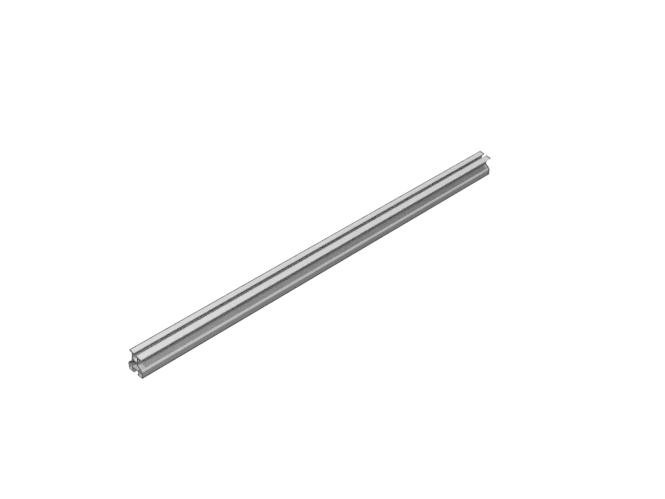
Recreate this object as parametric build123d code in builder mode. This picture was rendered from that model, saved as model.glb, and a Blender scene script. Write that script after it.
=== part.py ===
from build123d import *
import os
from math import cos, radians, sin, tan

# The rail is one extruded aluminium section, sawn square at both ends.
# It lies along X. The section is drawn in the YZ plane and stands on Z = 0.
# The body is symmetric about Z. The head on top of it leans towards -Y, and panels lie at its tilt.

# Overall sizes
rail_length = 1000.0
base_width = 41.0
head_width = 32.0

# The head leans about a pivot on the middle plane, which lies a little under the body's waist.
# Its flange tops are one rise away from the pivot.
head_tilt = 12.0
pivot_under_waist = 0.7
head_rise = 23.6

# Walls
side_wall = 1.8
foot_wall = 2.6
web_wall = 1.8
plate_wall = 2.2
neck_wall = 1.8
floor_wall = 1.6
flange_wall = 2.8

# Head channel, with its mouth between the flanges and its depth measured from their tops
head_slot_width = 6.6
head_channel_width = 13.4
head_channel_depth = 15.4

# Body from the ground up: upright sides, then facets and flares at angles from the ground
shoulder_height = 15.0
facet_rise = 5.2
facet_angle = 53.0
flare_angle = 36.0

# Foot channel under the body, with its mouth between two lips
foot_slot_width = 10.6
foot_channel_width = 15.8
foot_channel_ceiling = 10.7

# Rounds left by the die
foot_radius = 2.2
body_round = 1.0
edge_round = 0.4
inside_round = 0.8

half_base = base_width / 2
half_head = head_width / 2
half_head_slot = head_slot_width / 2
half_head_channel = head_channel_width / 2
half_foot_slot = foot_slot_width / 2
half_foot_channel = foot_channel_width / 2
half_neck = half_head_channel + neck_wall
web_outside = half_foot_channel + web_wall
inner_side = half_base - side_wall
plate_top = foot_channel_ceiling + plate_wall
facet_top = shoulder_height + facet_rise
facet_top_across = half_base - facet_rise / tan(radians(facet_angle))

# The waist is where the flares have come in to the width of the neck
waist_height = facet_top + (facet_top_across - half_neck) * tan(radians(flare_angle))
pivot_height = waist_height - pivot_under_waist

# Rises along the head's own middle line, from its pivot
flange_underside = head_rise - flange_wall
head_channel_floor = head_rise - head_channel_depth
neck_hollow_top = head_channel_floor - floor_wall


def tilted(across, rise):
    """Place in the section of a point of the head, from its distances across and along the head."""
    lean = radians(head_tilt)
    return (across * cos(lean) - rise * sin(lean), pivot_height + across * sin(lean) + rise * cos(lean))


def head_block(half_width, bottom, top):
    """Corners of a block of the head that is as wide on each side of the head's middle line."""
    places = [(-half_width, bottom), (half_width, bottom), (half_width, top), (-half_width, top)]
    return [tilted(*place) for place in places]


def neck_block(half_width, ground_height, top):
    """Corners of a block of the head that starts level, at a height in the body."""
    lean = radians(head_tilt)
    drop = pivot_height - ground_height
    right = (half_width * sin(lean) - drop) / cos(lean)
    left = (-half_width * sin(lean) - drop) / cos(lean)
    places = [(-half_width, right), (half_width, left), (half_width, top), (-half_width, top)]
    return [tilted(*place) for place in places]


def set_in(across, height, lower_angle, upper_angle):
    """A corner of the body moved in by one wall, between two faces at angles from the ground."""
    lower, upper = radians(lower_angle), radians(upper_angle)
    step = side_wall / (1 + cos(lower - upper))
    return (across - step * (sin(lower) + sin(upper)), height - step * (cos(lower) + cos(upper)))


def body_corners(half):
    """Corners of the body from those of one half, with its flares carried on until they meet."""
    across, height = half[-1]
    peak = height + across * tan(radians(flare_angle))
    return half + [(0, peak)] + [(-across, height) for across, height in reversed(half)]


def corners(sketch, places):
    """The corners of a sketch that lie nearest to places in the section."""
    return [sketch.vertices().sort_by_distance(place)[0] for place in places]


def both_sides(across, height):
    """A place in the body and its mirror image."""
    return [(-across, height), (across, height)]


def both_sides_of_head(across, rise):
    """A place in the head and its mirror image about the head's middle line."""
    return [tilted(-across, rise), tilted(across, rise)]


inner_facet_across, inner_facet_top = set_in(facet_top_across, facet_top, facet_angle, flare_angle)
outer_half = [(half_base, 0), (half_base, shoulder_height), (facet_top_across, facet_top)]
inner_half = [
    (web_outside, plate_top),
    (web_outside, foot_wall),
    (inner_side, foot_wall),
    set_in(half_base, shoulder_height, 90, facet_angle),
    (inner_facet_across, inner_facet_top),
]
body_bends = both_sides(half_base, shoulder_height) + both_sides(facet_top_across, facet_top)
neck_bends = both_sides(half_neck, pivot_height) + both_sides_of_head(half_neck, flange_underside)
foot_corners = both_sides(half_base, 0)
free_edges = (
    both_sides_of_head(half_head, head_rise)
    + both_sides_of_head(half_head, flange_underside)
    + both_sides_of_head(half_head_slot, head_rise)
    + both_sides_of_head(half_head_slot, flange_underside)
    + both_sides(half_foot_slot, 0)
    + both_sides(half_foot_slot, foot_wall)
)

with BuildPart() as rail:
    with BuildSketch(Plane.YZ) as section:
        # Body, neck and flanges, still without their hollows
        Polygon(*body_corners(outer_half), align=None)
        Polygon(*neck_block(half_neck, facet_top, head_rise), align=None)
        Polygon(*head_block(half_head, flange_underside, head_rise), align=None)

        # Head channel and its mouth
        channel = head_block(half_head_channel, head_channel_floor, flange_underside)
        mouth = head_block(half_head_slot, flange_underside, head_rise)
        Polygon(*channel, align=None, mode=Mode.SUBTRACT)
        Polygon(*mouth, align=None, mode=Mode.SUBTRACT)

        # Foot channel and its mouth
        with Locations((0, foot_wall)):
            Rectangle(
                foot_channel_width,
                foot_channel_ceiling - foot_wall,
                align=(Align.CENTER, Align.MIN),
                mode=Mode.SUBTRACT,
            )
        Rectangle(foot_slot_width, foot_wall, align=(Align.CENTER, Align.MIN), mode=Mode.SUBTRACT)

        fillet(corners(section, foot_corners), foot_radius)
        fillet(corners(section, body_bends), body_round)
        fillet(corners(section, neck_bends), inside_round)
        fillet(corners(section, free_edges), edge_round)
    extrude(amount=rail_length / 2, both=True)

    # Chamber, which arches over the foot channel and ends in the neck under the head channel's floor
    with BuildSketch(Plane.YZ) as chamber:
        Polygon(*body_corners(inner_half), align=None)
        Polygon(*neck_block(half_head_channel, inner_facet_top, neck_hollow_top), align=None)
        Polygon(*head_block(half_neck, neck_hollow_top, head_rise), align=None, mode=Mode.SUBTRACT)
        fillet(chamber.vertices(), inside_round)
    extrude(amount=rail_length / 2, both=True, mode=Mode.SUBTRACT)

rail.part.label = "rail"

os.makedirs("parts", exist_ok=True)
export_step(rail.part, "parts/rail.step")
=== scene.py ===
"""Solar mounting rail: the looks of one extruded aluminium rail, in the frame of its CAD model.

The rail lies along X, and its head leans towards -Y. Lengths of the section are in millimetres, and
everything that goes into the scene is in metres.
"""
import logging
import math
from collections.abc import Sequence
from dataclasses import dataclass, field, replace
from enum import Enum

import bpy
import numpy as np
from mathutils import Matrix, Vector
from mathutils.geometry import tessellate_polygon


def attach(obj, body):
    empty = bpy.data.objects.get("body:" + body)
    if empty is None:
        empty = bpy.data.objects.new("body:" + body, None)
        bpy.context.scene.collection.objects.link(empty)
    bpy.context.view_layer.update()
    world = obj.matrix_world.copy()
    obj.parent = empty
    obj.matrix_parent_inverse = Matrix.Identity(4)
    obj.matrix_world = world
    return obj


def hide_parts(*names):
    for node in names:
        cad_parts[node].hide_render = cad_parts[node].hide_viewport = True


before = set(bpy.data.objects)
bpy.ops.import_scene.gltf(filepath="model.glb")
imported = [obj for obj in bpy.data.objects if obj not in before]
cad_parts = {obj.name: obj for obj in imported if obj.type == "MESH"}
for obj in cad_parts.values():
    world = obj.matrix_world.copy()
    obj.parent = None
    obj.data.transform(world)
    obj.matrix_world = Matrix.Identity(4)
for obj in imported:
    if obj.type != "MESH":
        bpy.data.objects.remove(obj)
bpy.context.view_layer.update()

MM = 0.001
WHITE = (1.0, 1.0, 1.0, 1.0)

# A distance from a corner at which it no longer matters, mm
FAR_FROM_EDGE = 20.0

# A normal with more than this along X stands on a sawn face
SAWN_NORMAL = 0.999

# Numbers of the Mix node's sockets for colours: factor, first colour, second colour, and result
MIX_COLOUR_SOCKETS = (0, 6, 7)
MIX_COLOUR_RESULT = 2

log = logging.getLogger("solar_mounting_rail")

Rgba = tuple[float, float, float, float]
Triple = tuple[float, float, float]
Place = tuple[float, float]
Socket = bpy.types.NodeSocket

# Colours that more than one tone of the metal has; the dark one is painted shade along edges and
# beside the cuts, and colours the saw marks
DULL_METAL: Rgba = (0.50, 0.505, 0.51, 1.0)
SHADE_DARK: Rgba = (0.06, 0.06, 0.063, 1.0)


class Zone(Enum):
    """Where a stretch of the section lies, with how much it is shut in from the open air."""

    OPEN = 0.0
    CHANNEL = 0.6
    CHAMBER = 1.0


class End(Enum):
    """The two sawn ends of the rail, with the side of the middle that each is on."""

    NEAR = -1
    FAR = 1


class Side(Enum):
    """The two sides of the section, named by the flange of the leaning head that is there."""

    HIGH = 1
    LOW = -1


class Layer(Enum):
    """The values that the mesh carries for its finish, with the names of their attributes.

    EDGE, WIDE_SHADE and NOOK are distances in millimetres: to the nearest sharp outer corner that
    isn't beside the flange sides' painted light, which gets a painted dark edge line, the nearest
    corner with a wide band of painted shade, and the nearest sharp inner corner. SHELTER is how
    much the place is shut in and SIDE_LIT how much painted light the flange sides get there, both 0
    to 1.
    END is the distance to the nearer sawn end over the reach of the painted shade band there, and
    SAWN is 1 on the sawn faces.
    """

    EDGE = "edge_mm"
    WIDE_SHADE = "wide_shade_mm"
    NOOK = "nook_mm"
    SHELTER = "shelter"
    SIDE_LIT = "side_lit_share"
    END = "end_share"
    SAWN = "sawn"


@dataclass(frozen=True)
class Corner:
    """One corner of a line in the section.

    Attributes:
        across: distance from the middle plane, mm.
        height: distance above the ground, mm.
        radius: radius that rounds the corner, mm.
        zone: where the stretch that starts here lies.
        shaded_edge: whether a wide band of painted shade runs along the corner.
        side_lit: whether the stretch that starts here gets the painted light of the flange sides.
    """

    across: float
    height: float
    radius: float = 0.15
    zone: Zone = Zone.OPEN
    shaded_edge: bool = False
    side_lit: bool = False


@dataclass(frozen=True)
class Loop:
    """A closed line in the section plane, sampled finely, with the metal on its left.

    Attributes:
        points: (n, 2) places in mm.
        normals: (n, 2) unit vectors that point out of the metal.
        values: (n,) values of every layer that the section alone settles.
    """

    points: np.ndarray
    normals: np.ndarray
    values: dict[Layer, np.ndarray]


def unit(vectors: np.ndarray) -> np.ndarray:
    """Each vector divided by its own length."""
    return vectors / np.linalg.norm(vectors, axis=-1, keepdims=True)


def rounded_loop(corners: Sequence[Corner], steps: int = 8, sharp_below: float = 1.0) -> Loop:
    """Turn corners into a finely sampled line with a circular arc at each corner.

    The arc's centre lies on the line that halves the corner's angle, at the radius over the sine of
    half that angle. A point of the arc is the centre plus the spherical blend of the two spokes
    that meet the straight sides. One more point stands in the middle of each straight side, so that
    a distance that rises to the middle and falls again is carried exactly.

    Args:
        corners: the corners in order, with the metal on the left of the way round.
        steps: segments in each arc.
        sharp_below: a radius under this makes a sharp corner, which gets painted shade: a dark line
            if it is outer, the corner shade if it is inner, mm.

    Returns:
        The sampled line.
    """
    at = np.array([(corner.across, corner.height) for corner in corners])
    radius = np.array([corner.radius for corner in corners])[:, None]
    back = unit(np.roll(at, 1, axis=0) - at)
    on = unit(np.roll(at, -1, axis=0) - at)
    half_angle = np.arccos(np.clip((back * on).sum(1), -1, 1))[:, None] / 2
    centre = at + unit(back + on) * radius / np.sin(half_angle)
    spoke_in = (at + back * radius / np.tan(half_angle) - centre)[:, None]
    spoke_out = (at + on * radius / np.tan(half_angle) - centre)[:, None]
    turn = (math.pi - 2 * half_angle)[:, :, None]
    share = np.linspace(0, 1, steps + 1)[None, :, None]
    spokes = np.sin((1 - share) * turn) * spoke_in + np.sin(share * turn) * spoke_out
    spokes = spokes / np.sin(turn)
    arcs = centre[:, None] + spokes

    convex = (back[:, 1] * on[:, 0] - back[:, 0] * on[:, 1]) > 0
    arc_normals = unit(spokes) * np.where(convex, 1, -1)[:, None, None]
    flat_normals = np.stack([on[:, 1], -on[:, 0]], axis=1)[:, None]
    after = np.roll(arcs[:, 0], -1, axis=0)
    middles = ((arcs[:, -1] + after) / 2)[:, None]
    half_side = np.linalg.norm(after - arcs[:, -1], axis=1) / 2

    sharp = radius[:, 0] < sharp_below
    shaded_edge = np.array([corner.shaded_edge for corner in corners])
    side_lit = np.array([corner.side_lit for corner in corners])
    # Sharp outer corners that get a painted dark line, away from the flange sides' painted light
    edge_lined = sharp & convex & ~side_lit & ~np.roll(side_lit, 1)
    return Loop(
        points=np.concatenate([arcs, middles], axis=1).reshape(-1, 2),
        normals=np.concatenate([arc_normals, flat_normals], axis=1).reshape(-1, 2),
        values={
            # Distances to the painted dark edge lines and the wide painted shade bands, and the
            # share of the flange sides' painted light
            Layer.EDGE: distance_to(edge_lined, half_side, steps),
            Layer.WIDE_SHADE: distance_to(shaded_edge, half_side, steps),
            Layer.NOOK: distance_to(sharp & ~convex, half_side, steps),
            Layer.SHELTER: carried_over(np.array([corner.zone.value for corner in corners]), steps),
            Layer.SIDE_LIT: carried_over(side_lit.astype(float), steps),
        },
    )


def carried_over(values: np.ndarray, steps: int) -> np.ndarray:
    """Spread one value of each straight side over the samples.

    A side holds its own value from end to end. Along an arc the value goes evenly from that of the
    side before it to that of the side after it.

    Args:
        values: the value of the side after each corner.
        steps: segments in each arc.

    Returns:
        One value for each sample.
    """
    share = np.linspace(0, 1, steps + 1)[None]
    after = values[:, None]
    on_arc = (1 - share) * np.roll(values, 1)[:, None] + share * after
    return np.concatenate([on_arc, after], axis=1).reshape(-1)


def distance_to(marked: np.ndarray, half_side: np.ndarray, steps: int) -> np.ndarray:
    """Distance along the line from every sample to the nearest marked corner.

    It is nothing on a marked corner's arc and half a side at the middle of a side that has a marked
    corner at one end or both. Everywhere else it is a distance too far to matter.

    Args:
        marked: which corners count.
        half_side: half the straight length after each corner, mm.
        steps: segments in each arc.

    Returns:
        One distance for each sample, mm.
    """
    on_arc = np.repeat(np.where(marked, 0.0, FAR_FROM_EDGE)[:, None], steps + 1, axis=1)
    beside = marked | np.roll(marked, -1)
    at_middle = np.where(beside, half_side, FAR_FROM_EDGE)[:, None]
    return np.concatenate([on_arc, at_middle], axis=1).reshape(-1)


@dataclass(frozen=True)
class RailSection:
    """The extruded section, in millimetres: a symmetric body under a head that leans to one side.

    The body has upright sides, facets and flares, and one chamber that arches over the foot
    channel. The head is a channel with two flanges over it, turned about a pivot just under the
    body's waist. The round of the free edges is a hair over the CAD model's 0.4 mm, which keeps
    their sampled arcs inside its box.
    """

    # Overall sizes
    base_width: float = 41.0
    head_width: float = 32.0

    # The lean of the head, its pivot and the way from there to its top, along its own middle line
    head_tilt: float = 12.0
    pivot_under_waist: float = 0.7
    head_rise: float = 23.6

    # Walls
    side_wall: float = 1.8
    foot_wall: float = 2.6
    web_wall: float = 1.8
    plate_wall: float = 2.2
    neck_wall: float = 1.8
    floor_wall: float = 1.6
    flange_wall: float = 2.8

    # Head channel, with its depth measured from the top of the flanges
    head_slot_width: float = 6.6
    head_channel_width: float = 13.4
    head_channel_depth: float = 15.4

    # Body from the ground up, with the angles of its facets and flares in degrees from the ground
    shoulder_height: float = 15.0
    facet_rise: float = 5.2
    facet_angle: float = 53.0
    flare_angle: float = 36.0

    # Foot channel
    foot_slot_width: float = 10.6
    foot_channel_width: float = 15.8
    foot_channel_ceiling: float = 10.7

    # Rounds
    foot_radius: float = 2.2
    body_round: float = 1.0
    edge_round: float = 0.405
    inside_round: float = 0.8

    @property
    def facet_corner(self) -> Place:
        """Where a facet meets its flare, on the positive side."""
        across = self.base_width / 2 - self.facet_rise / math.tan(math.radians(self.facet_angle))
        return across, self.shoulder_height + self.facet_rise

    @property
    def half_neck(self) -> float:
        """Half the width of the neck over its walls."""
        return self.head_channel_width / 2 + self.neck_wall

    @property
    def pivot_height(self) -> float:
        """Height of the point that the head leans about.

        The waist is where the flares have come in to the width of the neck, and the point lies a
        little under it.

        Returns:
            The height above the ground, mm.
        """
        across, height = self.facet_corner
        waist = height + (across - self.half_neck) * math.tan(math.radians(self.flare_angle))
        return waist - self.pivot_under_waist

    def tilted(self, across: float, rise: float) -> Place:
        """Place in the section of a point of the head.

        Args:
            across: distance from the head's own middle line, mm.
            rise: distance from the pivot along that line, mm.

        Returns:
            The point turned about the pivot by the head's tilt.
        """
        lean = math.radians(self.head_tilt)
        return (across * math.cos(lean) - rise * math.sin(lean),
                self.pivot_height + across * math.sin(lean) + rise * math.cos(lean))

    def set_in(self, place: Place, lower_angle: float, upper_angle: float) -> Place:
        """Move a corner of the body in by one wall.

        It moves along the sum of the two faces' inward normals, by the wall over one plus the
        cosine of the angle between them.

        Args:
            place: the corner, on the positive side.
            lower_angle: angle of the face under it from the ground, degrees.
            upper_angle: angle of the face over it from the ground, degrees.

        Returns:
            The corner of the inner faces.
        """
        lower, upper = math.radians(lower_angle), math.radians(upper_angle)
        step = self.side_wall / (1 + math.cos(lower - upper))
        return (place[0] - step * (math.sin(lower) + math.sin(upper)),
                place[1] - step * (math.cos(lower) + math.cos(upper)))

    def junction(self, side: Side, half_width: float, corner: Place) -> Place:
        """Where a face of the neck meets a face of the flare.

        The flare's face rises from its corner at the flare's angle towards the middle. The distance
        along the head at which the neck's face has the same height is the height still missing at
        the pivot's level, over the rate at which the two faces come together.

        Args:
            side: the side of the section.
            half_width: distance of the neck's face from the head's middle line, mm.
            corner: lower end of the flare's face, on the positive side.

        Returns:
            The place of the corner between the two faces.
        """
        lean, slope = math.radians(self.head_tilt), math.tan(math.radians(self.flare_angle))
        missing = corner[1] + (corner[0] - half_width * math.cos(lean)) * slope - self.pivot_height
        missing -= side.value * half_width * math.sin(lean)
        rise = missing / (math.cos(lean) - side.value * math.sin(lean) * slope)
        return self.tilted(side.value * half_width, rise)

    def outline(self) -> Loop:
        """The outer line, round the head channel and the foot channel as well."""
        return rounded_loop(closed(self.outline_half(Side.HIGH), self.outline_half(Side.LOW)))

    def outline_half(self, side: Side) -> list[Corner]:
        """Half the outer line, from the foot channel's ceiling to the head channel's floor.

        Args:
            side: the side of the section.

        Returns:
            Its corners in order.
        """
        sign, shut = side.value, Zone.CHANNEL
        half_base, half_head = self.base_width / 2, self.head_width / 2
        half_slot, half_channel = self.head_slot_width / 2, self.head_channel_width / 2
        half_foot_slot, half_foot = self.foot_slot_width / 2, self.foot_channel_width / 2
        top, under = self.head_rise, self.head_rise - self.flange_wall
        facet = self.facet_corner
        return [
            Corner(sign * half_foot, self.foot_channel_ceiling, zone=shut),
            Corner(sign * half_foot, self.foot_wall, zone=shut),
            Corner(sign * half_foot_slot, self.foot_wall, self.edge_round, zone=shut),
            Corner(sign * half_foot_slot, 0, self.edge_round),
            # The foot's outer round gets a wide band of painted shade
            Corner(sign * half_base, 0, self.foot_radius, shaded_edge=True),
            Corner(sign * half_base, self.shoulder_height, self.body_round),
            Corner(sign * facet[0], facet[1], self.body_round),
            Corner(*self.junction(side, self.half_neck, facet), self.inside_round),
            Corner(*self.tilted(sign * self.half_neck, under), self.inside_round),
            # Painted light on the flange's outer side, which starts here
            Corner(*self.tilted(sign * half_head, under), self.edge_round, side_lit=True),
            # The high flange's top edge gets a wide band of painted shade
            Corner(*self.tilted(sign * half_head, top), self.edge_round, shaded_edge=side is Side.HIGH),
            Corner(*self.tilted(sign * half_slot, top), self.edge_round, zone=shut),
            Corner(*self.tilted(sign * half_slot, under), self.edge_round, zone=shut),
            Corner(*self.tilted(sign * half_channel, under), zone=shut),
            Corner(*self.tilted(sign * half_channel, top - self.head_channel_depth), zone=shut),
        ]

    def chamber(self) -> Loop:
        """The line of the chamber, which arches over the foot channel and ends in the neck."""
        halves = (self.chamber_half(Side.HIGH), self.chamber_half(Side.LOW))
        return rounded_loop(closed(*halves)[::-1])

    def chamber_half(self, side: Side) -> list[Corner]:
        """Half the chamber's line, from the plate over the foot channel to the neck's top.

        Args:
            side: the side of the section.

        Returns:
            Its corners in order.
        """
        half_base, half_channel = self.base_width / 2, self.head_channel_width / 2
        web = self.foot_channel_width / 2 + self.web_wall
        hollow_top = self.head_rise - self.head_channel_depth - self.floor_wall
        shoulder = self.set_in((half_base, self.shoulder_height), 90, self.facet_angle)
        facet = self.set_in(self.facet_corner, self.facet_angle, self.flare_angle)
        body = [(web, self.foot_channel_ceiling + self.plate_wall), (web, self.foot_wall),
                (half_base - self.side_wall, self.foot_wall), shoulder, facet]
        places = [(side.value * across, height) for across, height in body]
        places.append(self.junction(side, half_channel, facet))
        places.append(self.tilted(side.value * half_channel, hollow_top))
        return [Corner(*place, self.inside_round, Zone.CHAMBER) for place in places]


def closed(high: Sequence[Corner], low: Sequence[Corner]) -> list[Corner]:
    """Join the two sides of a line into one that runs round the section once.

    Args:
        high: corners on the positive side, from the lower middle to the upper middle.
        low: the corners on the other side, in the same order.

    Returns:
        All corners. What the low side says of a stretch is moved to the corner that now starts it.
    """
    starts = [low[-1], *low[:-1]]
    back = [replace(corner, zone=start.zone, side_lit=start.side_lit)
            for corner, start in zip(low, starts)]
    return [*high, *reversed(back)]


@dataclass(frozen=True)
class Relief:
    """How a pattern bends the normals.

    Attributes:
        strength: how much of the bend is used, 0 to 1.
        depth: what a height of 1 stands for, metres.
        sunk: whether the pattern goes into the metal.
    """

    strength: float
    depth: float
    sunk: bool = False


@dataclass
class Graph:
    """A node tree with short calls for adding and joining nodes."""

    tree: bpy.types.NodeTree

    def add(self, kind: str, inputs: dict[str | int, object] | None = None,
            **settings: object) -> bpy.types.Node:
        """Add one node.

        Args:
            kind: the node's type name.
            inputs: socket name or number to a value, or to an output socket that feeds it.
            settings: properties of the node.

        Returns:
            The new node.
        """
        node = self.tree.nodes.new(kind)
        for name, value in settings.items():
            setattr(node, name, value)
        for name, value in (inputs or {}).items():
            self.feed(node.inputs[name], value)
        return node

    def feed(self, socket: Socket, value: object) -> None:
        """Give a socket a value, or link it to the output socket that feeds it."""
        if isinstance(value, Socket):
            self.tree.links.new(value, socket)
        else:
            socket.default_value = value

    def group(self, tree: bpy.types.NodeTree, place: Socket, **inputs: object) -> dict[str, Socket]:
        """Put in a node group.

        Args:
            tree: the group.
            place: the place that its patterns read.
            inputs: values or output sockets for its other inputs.

        Returns:
            Its outputs by name.
        """
        node = self.add("ShaderNodeGroup", node_tree=tree)
        for name, value in {"Place": place, **inputs}.items():
            self.feed(node.inputs[name], value)
        return {socket.name: socket for socket in node.outputs}

    def layer(self, layer: Layer) -> Socket:
        """The values of one of the mesh's layers."""
        return self.add("ShaderNodeAttribute", attribute_name=layer.value).outputs["Fac"]

    def math(self, operation: str, *values: object, clamp: bool = False) -> Socket:
        """The result of one Math node."""
        inputs = dict(enumerate(values))
        return self.add("ShaderNodeMath", inputs, operation=operation, use_clamp=clamp).outputs[0]

    def times(self, first: object, second: object) -> Socket:
        """The product of two values."""
        return self.math("MULTIPLY", first, second)

    def rest_of(self, value: Socket) -> Socket:
        """One less a value."""
        return self.math("SUBTRACT", 1.0, value, clamp=True)

    def smooth(self, value: Socket, low: object, high: object, start: float,
               end: float) -> Socket:
        """Carry a value from one range to another along a smooth step.

        Args:
            value: the value.
            low: where the first range begins.
            high: where it ends.
            start: what low becomes.
            end: what high becomes.

        Returns:
            The carried value.
        """
        inputs = {"Value": value, "From Min": low, "From Max": high, "To Min": start, "To Max": end}
        ramp = self.add("ShaderNodeMapRange", inputs, interpolation_type="SMOOTHSTEP")
        return ramp.outputs["Result"]

    def mix(self, factor: Socket, first: object, second: object) -> Socket:
        """Blend two colours.

        Args:
            factor: 0 for the first colour, 1 for the second.
            first: the first colour.
            second: the second colour.

        Returns:
            The blend.
        """
        node = self.add("ShaderNodeMix", data_type="RGBA")
        for socket, value in zip(MIX_COLOUR_SOCKETS, (factor, first, second)):
            self.feed(node.inputs[socket], value)
        return node.outputs[MIX_COLOUR_RESULT]

    def stretched(self, place: Socket, scale: Triple, turn: Triple = (0, 0, 0)) -> Socket:
        """A place with each axis scaled on its own."""
        inputs = {"Vector": place, "Scale": scale, "Rotation": turn}
        return self.add("ShaderNodeMapping", inputs).outputs[0]

    def noise(self, place: Socket, scale: object, detail: float, rough: float) -> Socket:
        """The value of a noise texture."""
        inputs = {"Vector": place, "Scale": scale, "Detail": detail, "Roughness": rough}
        return self.add("ShaderNodeTexNoise", inputs).outputs["Fac"]

    def bump(self, height: Socket, relief: Relief, below: Socket | None = None) -> Socket:
        """Bend the normal by a height.

        Args:
            height: the height, 0 to 1.
            relief: how it bends the normal.
            below: a normal that is already bent, or none.

        Returns:
            The bent normal.
        """
        inputs = {"Height": height, "Strength": relief.strength, "Distance": relief.depth}
        if below is not None:
            inputs["Normal"] = below
        return self.add("ShaderNodeBump", inputs, invert=relief.sunk).outputs[0]


class GroupMaker:
    """Starts a shader node group with named sockets."""

    def __init__(self, name: str, inputs: dict[str, object], outputs: Sequence[str]) -> None:
        """Make the group. Its first input is the place that its patterns read.

        Args:
            name: the group's name.
            inputs: socket name to default value; a tuple makes a vector socket.
            outputs: names of the value outputs.
        """
        self.tree = bpy.data.node_groups.new(name, "ShaderNodeTree")
        for key, value in {"Place": (0.0, 0.0, 0.0), **inputs}.items():
            kind = "NodeSocketVector" if isinstance(value, tuple) else "NodeSocketFloat"
            socket = self.tree.interface.new_socket(key, in_out="INPUT", socket_type=kind)
            socket.default_value = value
        for key in outputs:
            self.tree.interface.new_socket(key, in_out="OUTPUT", socket_type="NodeSocketFloat")
        self.graph = Graph(self.tree)
        self.source = self.graph.add("NodeGroupInput").outputs
        self.sink = self.graph.add("NodeGroupOutput").inputs

    def give(self, name: str, value: Socket) -> None:
        """Feed one output."""
        self.tree.links.new(value, self.sink[name])


def die_lines_group() -> bpy.types.NodeTree:
    """Lines that the die draws: noise whose place along X is shrunk, so that it hardly changes.

    Lines is the sum of a coarse and a fine noise that are drawn out much further than the broad
    noise of Bands.

    Returns:
        The node group.
    """
    inputs = {"Line Drift": 0.004, "Band Drift": 0.6, "Coarse": 900.0, "Fine": 5200.0,
              "Fine Share": 0.45}
    made = GroupMaker("die_lines", inputs, ["Lines", "Bands"])
    graph, source = made.graph, made.source

    def drawn_out(drift: Socket) -> Socket:
        """The place with its X shrunk."""
        x, y, z = graph.add("ShaderNodeSeparateXYZ", {0: source["Place"]}).outputs
        return graph.add("ShaderNodeCombineXYZ", {0: graph.times(x, drift), 1: y, 2: z}).outputs[0]

    line_place = drawn_out(source["Line Drift"])
    fine = graph.noise(line_place, source["Fine"], detail=2.0, rough=0.6)
    coarse = graph.noise(line_place, source["Coarse"], detail=3.0, rough=0.65)
    bands = graph.noise(drawn_out(source["Band Drift"]), scale=110.0, detail=2.0, rough=0.5)
    fine_part = graph.times(fine, source["Fine Share"])
    coarse_part = graph.times(coarse, graph.rest_of(source["Fine Share"]))
    made.give("Lines", graph.math("ADD", fine_part, coarse_part))
    made.give("Bands", graph.smooth(bands, low=0.3, high=0.7, start=0.0, end=1.0))
    return made.tree


def edge_tone_group() -> bpy.types.NodeTree:
    """A mask beside an edge: full over the core, then fading out to a width that noise moves.

    The width is multiplied by one plus twice the unevenness times noise about nought.

    Returns:
        The node group.
    """
    inputs = {"Distance": FAR_FROM_EDGE, "Width": 0.8, "Core": 0.0, "Unevenness": 0.35}
    made = GroupMaker("edge_tone", inputs, ["Mask"])
    graph, source = made.graph, made.source
    long_place = graph.stretched(source["Place"], (0.25, 1.0, 1.0))
    grain = graph.noise(long_place, scale=260.0, detail=4.0, rough=0.6)
    uneven = graph.times(graph.math("SUBTRACT", grain, 0.5), source["Unevenness"])
    width = graph.times(source["Width"], graph.math("MULTIPLY_ADD", uneven, 2.0, 1.0))
    core = graph.times(width, source["Core"])
    made.give("Mask", graph.smooth(source["Distance"], low=core, high=width, start=1.0, end=0.0))
    return made.tree


@dataclass(frozen=True)
class ScuffSet:
    """Scuffs of one direction.

    Attributes:
        angle: their angle from the rail's length, radians.
        step: a shift that keeps the set apart from the others.
        roll: how far they turn about the rail's length, as a share of the angle.
        stretch: how fine the noise is along the scuffs and across them, per metre.
        half_width: half the noise's range that a scuff takes up.
        patch_scale: how fine the patches are that hold scuffs, per metre.
        patch_range: values of the patches' noise between which the scuffs set in.
    """

    angle: float
    step: float
    roll: float = 0.4
    stretch: Triple = (6.0, 240.0, 240.0)
    half_width: float = 0.006
    patch_scale: float = 34.0
    patch_range: tuple[float, float] = (0.56, 0.66)

    def mask(self, graph: Graph, place: Socket) -> Socket:
        """Where the scuffs lie: where a long stretched noise is next to one half, in patches.

        Args:
            graph: the node tree.
            place: the place that the noise reads.

        Returns:
            The set's mask.
        """
        turned = graph.stretched(place, self.stretch, (self.angle * self.roll, 0.0, self.angle))
        shift = {0: turned, 1: (self.step, self.step, self.step)}
        shifted = graph.add("ShaderNodeVectorMath", shift, operation="ADD").outputs[0]
        line = graph.noise(shifted, scale=1.0, detail=1.0, rough=0.4)
        away = graph.math("ABSOLUTE", graph.math("SUBTRACT", line, 0.5))
        thin = graph.smooth(away, low=0.0, high=self.half_width, start=1.0, end=0.0)
        long_place = graph.stretched(place, (1.0, 3.0, 3.0))
        patches = graph.noise(long_place, self.patch_scale + self.step, detail=2.0, rough=0.5)
        return graph.times(thin, graph.smooth(patches, *self.patch_range, start=0.0, end=1.0))


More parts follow.
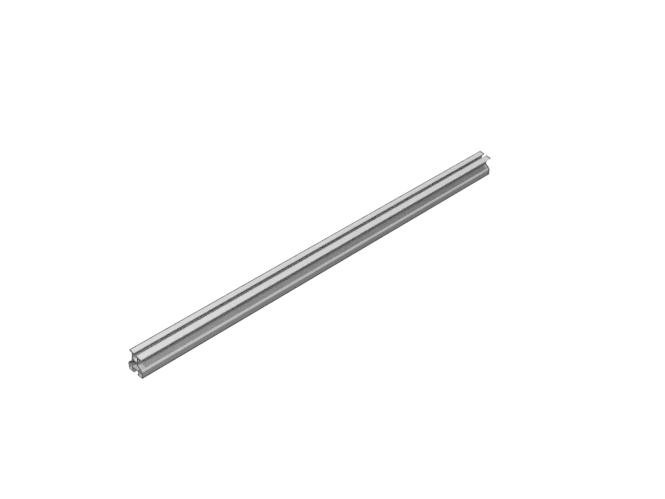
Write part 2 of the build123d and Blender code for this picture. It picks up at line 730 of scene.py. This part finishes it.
def handling_group() -> bpy.types.NodeTree:
    """Marks of storage: cloudy dust in flecks, and three sets of thin scuffs along the rail.

    Returns:
        The node group.
    """
    made = GroupMaker("handling", {}, ["Dust", "Scuff"])
    graph, place = made.graph, made.source["Place"]
    long_place = graph.stretched(place, (0.45, 1.0, 1.0))
    cloud = graph.noise(long_place, scale=26.0, detail=5.0, rough=0.62)
    fleck = graph.noise(place, scale=900.0, detail=2.0, rough=0.7)
    clouds = graph.smooth(cloud, low=0.42, high=0.68, start=0.0, end=1.0)
    flecks = graph.smooth(fleck, low=0.35, high=0.7, start=0.45, end=1.0)
    made.give("Dust", graph.times(clouds, flecks))
    sets = (
        ScuffSet(angle=0.06, step=0.0),
        ScuffSet(angle=-0.11, step=3.7),
        ScuffSet(angle=0.35, step=8.1),
    )
    first, second, third = (scuffs.mask(graph, place) for scuffs in sets)
    made.give("Scuff", graph.math("MAXIMUM", graph.math("MAXIMUM", first, second), third))
    return made.tree


def saw_marks_group() -> bpy.types.NodeTree:
    """Arcs that a round blade leaves: a sine of the distance to the blade's middle over the pitch.

    Noise is added to the distance, as jitter, and to the sine, as grain.

    Returns:
        The node group.
    """
    inputs = {"Centre": (0.0, 0.12, 0.2), "Pitch": 0.00042, "Jitter": 0.0011, "Wave": 0.25,
              "Middle": 0.35, "Grain": 0.4}
    made = GroupMaker("saw_marks", inputs, ["Marks"])
    graph, source = made.graph, made.source
    flat = graph.stretched(source["Place"], (0.0, 1.0, 1.0))
    ends = {0: flat, 1: source["Centre"]}
    measure = graph.add("ShaderNodeVectorMath", ends, operation="DISTANCE")
    jitter = graph.times(graph.noise(flat, scale=420.0, detail=3.0, rough=0.6), source["Jitter"])
    reach = graph.math("ADD", measure.outputs["Value"], jitter)
    wave = graph.math("SINE", graph.times(graph.math("DIVIDE", reach, source["Pitch"]), math.tau))
    waves = graph.math("MULTIPLY_ADD", wave, source["Wave"], source["Middle"])
    grain = graph.noise(flat, scale=2600.0, detail=3.0, rough=0.7)
    made.give("Marks", graph.math("MULTIPLY_ADD", grain, source["Grain"], waves))
    return made.tree


@dataclass(frozen=True)
class Tone:
    """A colour that is mixed in over an area.

    Attributes:
        colour: the colour.
        strength: how much of the metal's colour it hides, 0 to 1.
    """

    colour: Rgba
    strength: float


@dataclass(frozen=True)
class EdgeShade(Tone):
    """A painted shade beside an edge or a cut.

    Attributes:
        width: how far it reaches, in the unit of the layer that it reads.
        core: the share of the width that it covers fully.
        unevenness: how much noise moves its border.
    """

    width: float
    core: float
    unevenness: float

    def mask(self, graph: Graph, tree: bpy.types.NodeTree, place: Socket, layer: Layer) -> Socket:
        """Where the painted shade lies, with its strength.

        Args:
            graph: the material's node tree.
            tree: the group that fades a tone out beside an edge.
            place: the place that its noise reads.
            layer: the distances that it follows.

        Returns:
            The stain's mask.
        """
        found = graph.group(tree, place, Distance=graph.layer(layer), Width=self.width,
                            Core=self.core, Unevenness=self.unevenness)
        return graph.times(found["Mask"], self.strength)


@dataclass(frozen=True)
class Masks:
    """Values over the rail's surface, from which every part of the finish is mixed.

    Attributes:
        lines: fine lines that the die drew.
        bands: broad duller bands.
        dust: cloudy dust.
        scuff: thin scuffs.
        saw: marks of the saw's teeth.
        sawn: one on the sawn faces.
        shelter: how much the place is shut in.
        low_side_shade: painted shade, darker low on the outer sides.
        bright: painted light on the flange's outer sides.
        nook: shade in the inner corners.
        edge_line_shade: painted shade, a dark line along sharp outer edges.
        cut_shade: painted shade, a dark band beside the cuts, on the outside.
        wide_edge_shade: painted shade, a wide dark band along the foot's round and the high
            flange's top edge.
        shade_and_sawn: the strongest of the wider painted shade bands and the sawn faces, which
            takes the metal's shine away.
    """

    lines: Socket
    bands: Socket
    dust: Socket
    scuff: Socket
    saw: Socket
    sawn: Socket
    shelter: Socket
    low_side_shade: Socket
    bright: Socket
    nook: Socket
    edge_line_shade: Socket
    cut_shade: Socket
    wide_edge_shade: Socket
    shade_and_sawn: Socket


@dataclass(frozen=True)
class MillAluminium:
    """Mill-finish aluminium: satin, with die lines and sawn ends, painted light in the hollows and
    on the flange sides, and painted shade on the low sides, along edges, beside the cuts and on the
    sawn faces.

    Attributes:
        name: the material's name.
        base: colour of the plain metal.
        band: duller bands.
        line: die lines.
        hollow_light: painted light, a lighter colour in the channels and the chamber.
        dust: dust from storage.
        scuff: scuffs.
        low_side_shade: painted shade, darker low on the outer sides.
        flange_side_light: painted light, a lighter colour on the flange's outer sides.
        nook: shade in the inner corners.
        edge_line_shade: painted shade, a dark line along sharp outer edges.
        cut_shade: painted shade, a dark band beside the cuts.
        wide_edge_shade: painted shade, a wide dark band along the foot's round and the high
            flange's top edge.
        sawn: colour of the sawn faces, a painted shade far darker than sawn metal.
        sawn_mark: colour of the saw marks on them.
        low_side_shade_heights: where the painted shade low on the sides starts to fade and where it
            ends, metres.
        line_range: values between which the die lines show.
        saw_range: values between which the saw marks show.
        side_light_in_band: how light the flange sides' painted light stays in a duller band.
        metallic: how metallic the plain metal is.
        side_light_metallic: how metallic the surface is under the flange sides' painted light.
        specular: the shader's specular level.
        roughness: roughness of the plain metal.
        line_roughness: range of roughness between the die lines.
        dust_roughness: what dust adds to the roughness.
        scuff_roughness: what scuffs take from the roughness.
        shade_and_sawn_roughness: what the wider painted shade bands and the sawn faces add to the
            roughness.
        line_relief: depth of the die lines.
        scuff_relief: depth of the scuffs.
        saw_relief: depth of the saw marks.
    """

    name: str = "mill_aluminium"
    base: Rgba = (0.625, 0.625, 0.63, 1.0)
    band: Tone = Tone(DULL_METAL, strength=0.4)
    line: Tone = Tone(DULL_METAL, strength=0.55)
    # Painted light: a lighter colour in the channels and the chamber
    hollow_light: Tone = Tone((0.74, 0.74, 0.745, 1.0), strength=0.15)
    dust: Tone = Tone((0.57, 0.56, 0.54, 1.0), strength=0.3)
    scuff: Tone = Tone((0.75, 0.75, 0.76, 1.0), strength=0.45)
    # Painted shade: darker low on the outer sides, fading out upwards
    low_side_shade: Tone = Tone((0.34, 0.34, 0.34, 1.0), strength=0.52)
    # Painted light: the flange's outer sides made lighter and more metallic
    flange_side_light: Tone = Tone((0.80, 0.80, 0.805, 1.0), strength=0.7)
    nook: EdgeShade = EdgeShade((0.22, 0.22, 0.225, 1.0), 0.25, width=1.2, core=0.0, unevenness=0.7)
    # Painted shade: a dark line along sharp outer edges
    edge_line_shade: EdgeShade = EdgeShade(SHADE_DARK, strength=0.52, width=0.9, core=0.3, unevenness=0.3)
    # Painted shade: a dark band beside the cuts, wider at the far end
    cut_shade: EdgeShade = EdgeShade(SHADE_DARK, strength=0.85, width=1.0, core=0.2, unevenness=0.25)
    # Painted shade: a wide black band along the foot's round and the high flange's top edge
    wide_edge_shade: EdgeShade = EdgeShade((0.02, 0.02, 0.02, 1.0), 1.0, width=1.9, core=0.6, unevenness=0.25)
    # Painted shade: the sawn faces made near black
    sawn: Rgba = (0.085, 0.085, 0.087, 1.0)
    sawn_mark: Rgba = SHADE_DARK
    low_side_shade_heights: tuple[float, float] = (0.004, 0.021)
    line_range: tuple[float, float] = (0.38, 0.62)
    saw_range: tuple[float, float] = (0.3, 0.75)
    side_light_in_band: float = 0.8
    metallic: float = 0.08
    side_light_metallic: float = 0.62
    specular: float = 0.25
    roughness: float = 0.48
    line_roughness: float = 0.24
    dust_roughness: float = 0.14
    scuff_roughness: float = 0.12
    shade_and_sawn_roughness: float = 0.3
    line_relief: Relief = Relief(strength=0.5, depth=0.00006)
    scuff_relief: Relief = Relief(strength=0.3, depth=0.00005, sunk=True)
    saw_relief: Relief = Relief(strength=0.5, depth=0.00008)

    def build(self) -> bpy.types.Material:
        """Build the material.

        Returns:
            A material that reads Object coordinates and the rail's own attributes.
        """
        material = bpy.data.materials.new(self.name)
        material.use_nodes = True
        material.diffuse_color = self.base
        graph = Graph(material.node_tree)
        shader = material.node_tree.nodes["Principled BSDF"]
        masks = self.masks(graph)
        graph.feed(shader.inputs["Base Color"], self.colour(graph, masks))
        graph.feed(shader.inputs["Roughness"], self.rough(graph, masks))
        graph.feed(shader.inputs["Metallic"], self.metal(graph, masks))
        graph.feed(shader.inputs["Normal"], self.bent_normal(graph, masks))
        shader.inputs["Specular IOR Level"].default_value = self.specular
        return material

    def masks(self, graph: Graph) -> Masks:
        """Lay the patterns over the rail and read its layers.

        Args:
            graph: the material's node tree.

        Returns:
            The masks over the rail.
        """
        place = graph.add("ShaderNodeTexCoord").outputs["Object"]
        die = graph.group(die_lines_group(), place)
        marks = graph.group(handling_group(), place)
        tone = edge_tone_group()
        shelter = graph.layer(Layer.SHELTER)
        outside = graph.rest_of(shelter)
        height = graph.add("ShaderNodeSeparateXYZ", {0: place}).outputs["Z"]
        # Painted shade low on the outer sides, fading out upwards
        low_side_shade = graph.smooth(height, *self.low_side_shade_heights, start=self.low_side_shade.strength, end=0.0)
        kept = graph.smooth(die["Bands"], low=0.0, high=1.0, start=1.0, end=self.side_light_in_band)
        sawn = graph.layer(Layer.SAWN)
        # Painted shade beside the cuts, on the outside only
        cut_shade = graph.times(self.cut_shade.mask(graph, tone, place, Layer.END), outside)
        # Painted shade along the foot's round and the high flange's top edge
        wide_edge_shade = self.wide_edge_shade.mask(graph, tone, place, Layer.WIDE_SHADE)
        return Masks(
            lines=die["Lines"],
            bands=die["Bands"],
            dust=marks["Dust"],
            scuff=marks["Scuff"],
            saw=graph.group(saw_marks_group(), place)["Marks"],
            sawn=sawn,
            shelter=shelter,
            low_side_shade=graph.times(low_side_shade, outside),
            # Painted light on the flange's outer sides
            bright=graph.times(graph.layer(Layer.SIDE_LIT), kept),
            nook=self.nook.mask(graph, tone, place, Layer.NOOK),
            # Painted shade: a dark line along sharp outer edges
            edge_line_shade=self.edge_line_shade.mask(graph, tone, place, Layer.EDGE),
            cut_shade=cut_shade,
            wide_edge_shade=wide_edge_shade,
            # The wider painted shade bands and the sawn faces together
            shade_and_sawn=graph.math("MAXIMUM", graph.math("MAXIMUM", wide_edge_shade, cut_shade), sawn),
        )

    def colour(self, graph: Graph, masks: Masks) -> Socket:
        """Mix the tones over the plain metal, from the lowest to the one on top.

        Args:
            graph: the material's node tree.
            masks: the masks over the rail.

        Returns:
            The colour.
        """
        lines = graph.smooth(masks.lines, *self.line_range, start=0.0, end=self.line.strength)
        saw = graph.smooth(masks.saw, *self.saw_range, start=0.0, end=1.0)
        bands = graph.times(masks.bands, self.band.strength)
        colour = graph.mix(bands, self.base, self.band.colour)
        # Painted light in the hollows and on the flange sides; painted shade low on the sides,
        # along edges, beside the cuts and on the sawn faces; shade in the inner corners
        for mask, tone in (
            (lines, self.line.colour),
            (graph.times(masks.shelter, self.hollow_light.strength), self.hollow_light.colour),
            (graph.times(masks.dust, self.dust.strength), self.dust.colour),
            (graph.times(masks.scuff, self.scuff.strength), self.scuff.colour),
            (masks.low_side_shade, self.low_side_shade.colour),
            (masks.nook, self.nook.colour),
            (masks.edge_line_shade, self.edge_line_shade.colour),
            (graph.times(masks.bright, self.flange_side_light.strength), self.flange_side_light.colour),
            (masks.cut_shade, self.cut_shade.colour),
            (masks.wide_edge_shade, self.wide_edge_shade.colour),
            (masks.sawn, graph.mix(saw, self.sawn, self.sawn_mark)),
        ):
            colour = graph.mix(mask, colour, tone)
        return colour

    def rough(self, graph: Graph, masks: Masks) -> Socket:
        """Work out the roughness: die lines move it both ways; dust, painted shade bands and sawn
        faces add; scuffs take away.

        Args:
            graph: the material's node tree.
            masks: the masks over the rail.

        Returns:
            The roughness.
        """
        about_nought = graph.math("SUBTRACT", masks.lines, 0.5)
        rough = graph.math("MULTIPLY_ADD", about_nought, self.line_roughness, self.roughness)
        rough = graph.math("MULTIPLY_ADD", masks.dust, self.dust_roughness, rough)
        rough = graph.math("MULTIPLY_ADD", masks.scuff, -self.scuff_roughness, rough)
        return graph.math("MULTIPLY_ADD", masks.shade_and_sawn, self.shade_and_sawn_roughness, rough, clamp=True)

    def metal(self, graph: Graph, masks: Masks) -> Socket:
        """How metallic the surface is: more under the flange sides' painted light, and not at all
        under the painted shade bands and on the sawn faces.
        """
        metal = graph.smooth(masks.bright, 0.0, 1.0, start=self.metallic, end=self.side_light_metallic)
        return graph.times(metal, graph.rest_of(masks.shade_and_sawn))

    def bent_normal(self, graph: Graph, masks: Masks) -> Socket:
        """Bend the normal by the die lines, the scuffs and, on the sawn faces, the saw marks.

        Args:
            graph: the material's node tree.
            masks: the masks over the rail.

        Returns:
            The bent normal.
        """
        normal = graph.bump(graph.times(masks.lines, graph.rest_of(masks.sawn)), self.line_relief)
        normal = graph.bump(masks.scuff, self.scuff_relief, normal)
        return graph.bump(graph.times(masks.saw, masks.sawn), self.saw_relief, normal)


def add_object(name: str, data: bpy.types.ID) -> bpy.types.Object:
    """Put a new object into the scene.

    Args:
        name: its name.
        data: its mesh, lamp or camera data.

    Returns:
        The object.
    """
    thing = bpy.data.objects.new(name, data)
    bpy.context.scene.collection.objects.link(thing)
    return thing


def add_lamp(data: bpy.types.Light, place: Vector, towards: Vector) -> bpy.types.Object:
    """Put a lamp into the scene.

    Args:
        data: the lamp's own settings.
        place: where it stands, metres.
        towards: the way its light travels.

    Returns:
        The lamp's object.
    """
    lamp = add_object(data.name, data)
    lamp.location = place
    lamp.rotation_mode = "QUATERNION"
    lamp.rotation_quaternion = towards.to_track_quat("-Z", "Y")
    return lamp


@dataclass(frozen=True)
class RailMesh:
    """Arrays of one rail.

    Attributes:
        places: (n, 3) places in metres.
        normals: (n, 3) unit normals.
        faces: vertex numbers of each face.
        values: (n,) values of every layer.
    """

    places: np.ndarray
    normals: np.ndarray
    faces: list[list[int]]
    values: dict[Layer, np.ndarray]


@dataclass
class ExtrudedRail:
    """The rail: its section carried along X, with both ends sawn square and lightly deburred.

    Attributes:
        length: length of the rail, mm.
        section: its section.
        deburr: radius that breaks the edges of the cuts, mm.
        deburr_steps: segments in that round.
        spans: segments along the rail between the rounds.
        near_shade_reach: reach of the painted shade band beside the near cut, mm.
        far_shade_reach: reach of the painted shade band beside the far cut, mm.
        finish: its finish.
    """

    length: float = 1000.0
    section: RailSection = field(default_factory=RailSection)
    deburr: float = 0.12
    deburr_steps: int = 4
    spans: int = 32
    # Reach of the painted shade band beside each cut, wider at the far end
    near_shade_reach: float = 1.8
    far_shade_reach: float = 6.5
    finish: MillAluminium = field(default_factory=MillAluminium)

    def stations(self) -> tuple[np.ndarray, np.ndarray, np.ndarray]:
        """Places along X where the section is repeated.

        Each end is a quarter circle from the rail's side to its sawn face: the section draws in by
        the radius less its cosine while it moves out by the radius times its sine.

        Returns:
            The X of each station and how far its section draws in, both in millimetres, and the
            angle of its normals in radians.
        """
        half = self.length / 2
        angle = np.linspace(math.pi / 2, 0, self.deburr_steps + 1)
        run = half - self.deburr + self.deburr * np.sin(angle)
        draw = self.deburr * (1 - np.cos(angle))
        middle = np.linspace(-(half - self.deburr), half - self.deburr, self.spans + 1)[1:-1]
        still = np.zeros_like(middle)
        along = np.concatenate([End.NEAR.value * run, middle, End.FAR.value * run[::-1]])
        inset = np.concatenate([draw, still, draw[::-1]])
        lean = np.concatenate([End.NEAR.value * angle, still, End.FAR.value * angle[::-1]])
        return along, inset, lean

    def carry(self, loop: Loop) -> tuple[np.ndarray, np.ndarray]:
        """Carry a line of the section along X.

        A place has the station's X and the line's point less the station's inset times its normal.
        A normal has the sine of the station's lean along X, and its cosine times the line's normal
        in the section.

        Args:
            loop: the line.

        Returns:
            Places in metres and unit normals, each with one row per station.
        """
        along, inset, lean = self.stations()
        line = loop.points[None] - inset[:, None, None] * loop.normals[None]
        count = len(loop.points)
        x = np.repeat(along[:, None, None], count, axis=1)
        side = np.cos(lean)[:, None, None] * loop.normals[None]
        tip = np.repeat(np.sin(lean)[:, None, None], count, axis=1)
        return np.concatenate([x, line], axis=2) * MM, np.concatenate([tip, side], axis=2)

    def surface(self) -> RailMesh:
        """Work out the closed surface.

        Every loop gives a tube of four-sided faces, one for each step along the rail and each step
        round the section. The flat ends are the ring between the outline and the chamber, cut into
        triangles.

        Returns:
            The arrays of the mesh.
        """
        loops = [self.section.outline(), self.section.chamber()]
        rows = len(self.stations()[0])
        places, normals, quads, first = [], [], [], 0
        rims: dict[End, list[np.ndarray]] = {End.NEAR: [], End.FAR: []}
        for loop in loops:
            at, normal = self.carry(loop)
            places.append(at.reshape(-1, 3))
            normals.append(normal.reshape(-1, 3))
            index = first + np.arange(at.size // 3).reshape(rows, -1)
            on = np.roll(index, -1, axis=1)
            quads.append(np.stack([index[:-1], on[:-1], on[1:], index[1:]], axis=2).reshape(-1, 4))
            rims[End.NEAR].append(index[0])
            rims[End.FAR].append(index[-1])
            first += index.size
        where, facing = np.concatenate(places), np.concatenate(normals)
        faces = np.concatenate(quads).tolist()
        for end, rings in rims.items():
            faces += self.cap(where, rings, end)
        values = {layer: np.concatenate([np.tile(loop.values[layer], rows) for loop in loops])
                  for layer in loops[0].values}
        return RailMesh(where, facing, faces, {**values, **self.end_values(where, facing)})

    def end_values(self, where: np.ndarray, facing: np.ndarray) -> dict[Layer, np.ndarray]:
        """Work out the values that depend on the ends.

        END is half the length less the distance from the middle, over the reach of the painted
        shade band. SAWN is where the normal points along X.

        Args:
            where: places of all vertices, metres.
            facing: their normals.

        Returns:
            The values of both layers.
        """
        reach = np.where(where[:, 0] < 0, self.near_shade_reach, self.far_shade_reach)
        return {
            Layer.END: (self.length / 2 - np.abs(where[:, 0]) / MM) / reach,
            Layer.SAWN: (np.abs(facing[:, 0]) > SAWN_NORMAL).astype(float),
        }

    @staticmethod
    def cap(where: np.ndarray, rings: Sequence[np.ndarray], end: End) -> list[list[int]]:
        """Cut one flat end into triangles that face out of the rail.

        A triangle whose area, worked out with its sign in the section, doesn't have the sign of its
        end is turned round.

        Args:
            where: places of all vertices, metres.
            rings: vertex numbers of the outline and of the chamber at this end.
            end: which end it is.

        Returns:
            Three vertex numbers for each triangle.
        """
        lines = [[Vector(place) for place in where[ring]] for ring in rings]
        triangles = np.concatenate(rings)[np.array(tessellate_polygon(lines))]
        a, b, c = (where[triangles[:, k]][:, 1:] for k in range(3))
        area = (b - a)[:, 0] * (c - a)[:, 1] - (b - a)[:, 1] * (c - a)[:, 0]
        wrong = np.sign(area) != end.value
        triangles[wrong] = triangles[wrong][:, ::-1]
        return triangles.tolist()

    def build(self) -> bpy.types.Object:
        """Put the surface into a mesh, dress it and tie it to the CAD node.

        Returns:
            The rail's object.
        """
        shape = self.surface()
        mesh = bpy.data.meshes.new("rail_surface")
        mesh.from_pydata(shape.places.tolist(), [], shape.faces)
        mesh.shade_smooth()
        mesh.normals_split_custom_set_from_vertices(shape.normals.tolist())
        for layer, values in shape.values.items():
            attribute = mesh.attributes.new(layer.value, "FLOAT", "POINT")
            attribute.data.foreach_set("value", values.astype(np.float32))
        mesh.materials.append(self.finish.build())
        piece = add_object("rail_extrusion", mesh)
        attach(piece, "root")
        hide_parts("rail")
        return piece


@dataclass(frozen=True)
class Sun:
    """One far, soft lamp.

    Attributes:
        name: the lamp's name.
        towards: the way its light travels.
        strength: its strength.
        softness: how wide it looks, in degrees.
        distance: how far from the rail's middle it is drawn, metres.
    """

    name: str
    towards: Triple
    strength: float
    softness: float
    distance: float = 3.0

    def build(self) -> bpy.types.Object:
        """Add the lamp.

        Returns:
            The lamp's object.
        """
        data = bpy.data.lights.new(self.name, "SUN")
        data.energy = self.strength
        data.angle = math.radians(self.softness)
        towards = Vector(self.towards)
        return add_lamp(data, -towards.normalized() * self.distance, towards)


@dataclass(frozen=True)
class Softbox:
    """One near, square lamp, whose light falls off along the rail.

    Attributes:
        name: the lamp's name.
        place: where it stands, metres.
        size: its side, metres.
        power: its power, watts.
        aim: where it points, metres.
    """

    name: str
    place: Triple
    size: float
    power: float
    aim: Triple = (0.0, 0.0, 0.0)

    def build(self) -> bpy.types.Object:
        """Add the lamp.

        Returns:
            The lamp's object.
        """
        data = bpy.data.lights.new(self.name, "AREA")
        data.energy = self.power
        data.size = self.size
        place = Vector(self.place)
        return add_lamp(data, place, Vector(self.aim) - place)


@dataclass
class Studio:
    """A floor, a plain world and the lamps.

    Attributes:
        floor_half: half the floor's side, metres.
        floor_tone: how light the floor is.
        floor_glow: how brightly the floor shines to the camera.
        world_tone: how much the sky lights the rail.
        lamps: the lamps.
    """

    floor_half: float = 30.0
    floor_tone: float = 0.06
    floor_glow: float = 0.97
    world_tone: float = 0.06
    lamps: tuple[Sun | Softbox, ...] = (
        Sun("key_near", (0.47, 0.11, -1.0), strength=1.26, softness=2.0),
        Sun("key_far", (-0.47, 0.11, -1.0), strength=1.20, softness=2.0),
        Softbox("fill", (-1.6, -1.0, 1.6), size=0.5, power=21.8),
        Softbox("back_fill", (1.0, 2.2, 0.45), size=0.5, power=10.0),
    )

    def floor(self) -> bpy.types.Object:
        """Lay the floor at the rail's underside: white to the camera, with the rail's shadow on it.

        Returns:
            The floor's object.
        """
        half = self.floor_half
        corners = [(x * half, y * half, 0) for x, y in ((-1, -1), (1, -1), (1, 1), (-1, 1))]
        mesh = bpy.data.meshes.new("floor")
        mesh.from_pydata(corners, [], [(0, 1, 2, 3)])
        mesh.materials.append(self.floor_finish())
        floor = add_object("floor", mesh)
        return floor

    def floor_finish(self) -> bpy.types.Material:
        """A dull dark floor that shines white to the camera, so that only its shadow is dark.

        Returns:
            The floor's material.
        """
        material = bpy.data.materials.new("floor")
        material.use_nodes = True
        graph = Graph(material.node_tree)
        shader = material.node_tree.nodes["Principled BSDF"]
        for socket, value in (
            ("Base Color", (self.floor_tone, self.floor_tone, self.floor_tone, 1.0)),
            ("Roughness", 1.0),
            ("Specular IOR Level", 0.0),
            ("Emission Color", WHITE),
            ("Emission Strength", graph.times(self.watched(graph), self.floor_glow)),
        ):
            graph.feed(shader.inputs[socket], value)
        return material

    @staticmethod
    def watched(graph: Graph) -> Socket:
        """Tell rays that come from the camera, straight or by way of a mirror or glass.

        Args:
            graph: the node tree of a material or of the world.

        Returns:
            One for such a ray and nought for any other.
        """
        path = graph.add("ShaderNodeLightPath").outputs
        direct = graph.math("ADD", path["Is Camera Ray"], path["Is Glossy Ray"])
        return graph.math("ADD", direct, path["Is Transmission Ray"], clamp=True)

    def world(self) -> bpy.types.World:
        """A plain grey sky that looks white to the camera.

        Returns:
            The world.
        """
        world = bpy.data.worlds.new("studio")
        world.use_nodes = True
        graph = Graph(world.node_tree)
        background = world.node_tree.nodes["Background"]
        seen = graph.smooth(self.watched(graph), low=0.0, high=1.0, start=self.world_tone, end=1.0)
        graph.feed(background.inputs["Strength"], seen)
        graph.feed(background.inputs["Color"], WHITE)
        bpy.context.scene.world = world
        return world

    def build(self) -> None:
        """Build floor, world and lamps."""
        self.floor()
        self.world()
        for lamp in self.lamps:
            lamp.build()


@dataclass(frozen=True)
class PhotoCamera:
    """The camera of the photograph: it looks down across the rail from above its near end.

    Attributes:
        width: width of the picture, pixels.
        focal_pixels: focal length, pixels.
        sensor: width of the sensor, mm.
        place_mm: where it stands, mm.
        clip: the nearest and the farthest that it sees, metres.
    """

    width: int = 665
    focal_pixels: float = 1076.0
    sensor: float = 36.0
    place_mm: Triple = (-1280.8, -1284.1, 1308.2)
    clip: tuple[float, float] = (0.05, 200.0)

    def build(self) -> bpy.types.Object:
        """Add the camera and make it the scene's.

        It looks along (1, 1, -1) and stands level.

        Returns:
            The camera's object.
        """
        forward = Vector((1, 1, -1)).normalized()
        right = Vector((1, -1, 0)).normalized()
        up = right.cross(forward)
        turn = Matrix((right, up, -forward)).transposed()
        data = bpy.data.cameras.new("photo_camera")
        data.sensor_width = self.sensor
        data.lens = self.sensor * self.focal_pixels / self.width
        data.clip_start, data.clip_end = self.clip
        camera = add_object("photo_camera", data)
        camera.matrix_world = Matrix.Translation(Vector(self.place_mm) * MM) @ turn.to_4x4()
        bpy.context.scene.camera = camera
        return camera


def main() -> None:
    """Build the rail, the studio and the camera, in that order."""
    logging.basicConfig(level=logging.INFO, format="%(name)s: %(message)s")
    bpy.context.scene.view_settings.view_transform = "Standard"
    piece = ExtrudedRail().build()
    mesh = piece.data
    log.info("%s: %d vertices, %d faces", piece.name, len(mesh.vertices), len(mesh.polygons))
    Studio().build()
    log.info("studio: floor, world and lamps")
    camera = PhotoCamera().build()
    log.info("%s: lens %.2f mm", camera.name, camera.data.lens)


if __name__ == "__main__":
    main()
